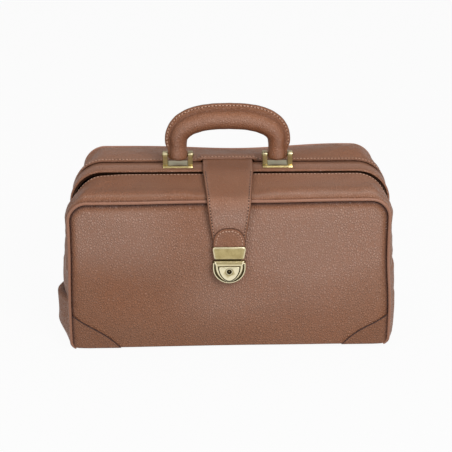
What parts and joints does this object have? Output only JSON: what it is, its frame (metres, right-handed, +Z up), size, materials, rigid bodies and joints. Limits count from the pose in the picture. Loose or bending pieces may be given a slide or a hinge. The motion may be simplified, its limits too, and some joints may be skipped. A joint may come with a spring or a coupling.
{
  "type": "doctor bag",
  "caption": "Brown leather doctor bag with a hinged steel mouth frame, arched top handle on brass brackets, closure strap and brass push-button tuck lock.",
  "frame": {"origin": "centre of the underside of the middle stud, on the surface that the bag stands on", "axes": "X along the bag's length to its right seen from the front, Y from front to rear, Z up"},
  "size_m": [0.432, 0.226, 0.2941],
  "materials": {
    "brown_leather": "pebbled mid-brown leather, semi-matt",
    "piping_leather": "smooth paler leather welt",
    "antique_brass": "antique brushed brass",
    "frame_steel": "plain steel strip",
    "base_board": "stiff fibre board",
    "lining_cloth": "dark brown woven lining"
  },
  "bodies": {
    "bag": {"front_panel": "brown_leather", "rear_panel": "brown_leather", "bottom_panel": "brown_leather", "left_end_gusset": "brown_leather", "right_end_gusset": "brown_leather", "front_top_gusset": "brown_leather", "rear_top_gusset": "brown_leather", "front_piping": "piping_leather", "rear_piping": "piping_leather", "front_left_corner_patch": "brown_leather", "front_right_corner_patch": "brown_leather", "rear_left_corner_patch": "brown_leather", "rear_right_corner_patch": "brown_leather", "base_board": "base_board", "lining": "lining_cloth", "middle_foot": "antique_brass", "front_left_foot": "antique_brass", "front_right_foot": "antique_brass", "rear_left_foot": "antique_brass", "rear_right_foot": "antique_brass", "rear_frame_bar": "frame_steel", "rear_frame_cover": "brown_leather", "left_hinge_rivet": "antique_brass", "right_hinge_rivet": "antique_brass", "left_handle_bracket": "antique_brass", "right_handle_bracket": "antique_brass", "left_handle_pin": "antique_brass", "right_handle_pin": "antique_brass", "strap_root": "brown_leather", "lock_body": "antique_brass", "lock_spring": "frame_steel", "lock_back_plate": "frame_steel"},
    "front_frame": {"front_frame_bar": "frame_steel", "front_frame_hem": "brown_leather"},
    "handle": {"handle_grip": "brown_leather", "handle_core": "frame_steel"},
    "strap": {"strap_flap": "brown_leather", "strap_tab": "brown_leather", "lock_hasp": "antique_brass"},
    "button": {"lock_button": "antique_brass"},
    "cylinder": {"lock_cylinder": "antique_brass"}
  },
  "joints": [
    {"name": "front_frame_hinge", "type": "hinge", "parent": "bag", "child": "front_frame", "pos_m": [0, 0, 0.116], "axis": [1, 0, 0], "range_deg": [0, 42], "deforming": ["front_top_gusset"]},
    {"name": "handle_swing", "type": "hinge", "parent": "bag", "child": "handle", "pos_m": [0, 0, 0.2248], "axis": [-1, 0, 0], "range_deg": [-40, 85]},
    {"name": "strap_lift", "type": "hinge", "parent": "bag", "child": "strap", "pos_m": [0, -0.0245, 0.2143], "axis": [-1, 0, 0], "range_deg": [0, 60]},
    {"name": "button_push", "type": "slide", "parent": "bag", "child": "button", "axis": [0, 1, 0], "range_m": [0, 0.002], "stiffness_N_per_m": 400, "springref_m": -0.002, "deforming": ["lock_spring"]},
    {"name": "key_turn", "type": "hinge", "parent": "button", "child": "cylinder", "pos_m": [0, -0.112, 0.1148], "axis": [0, -1, 0], "range_deg": [0, 90]}
  ]
}
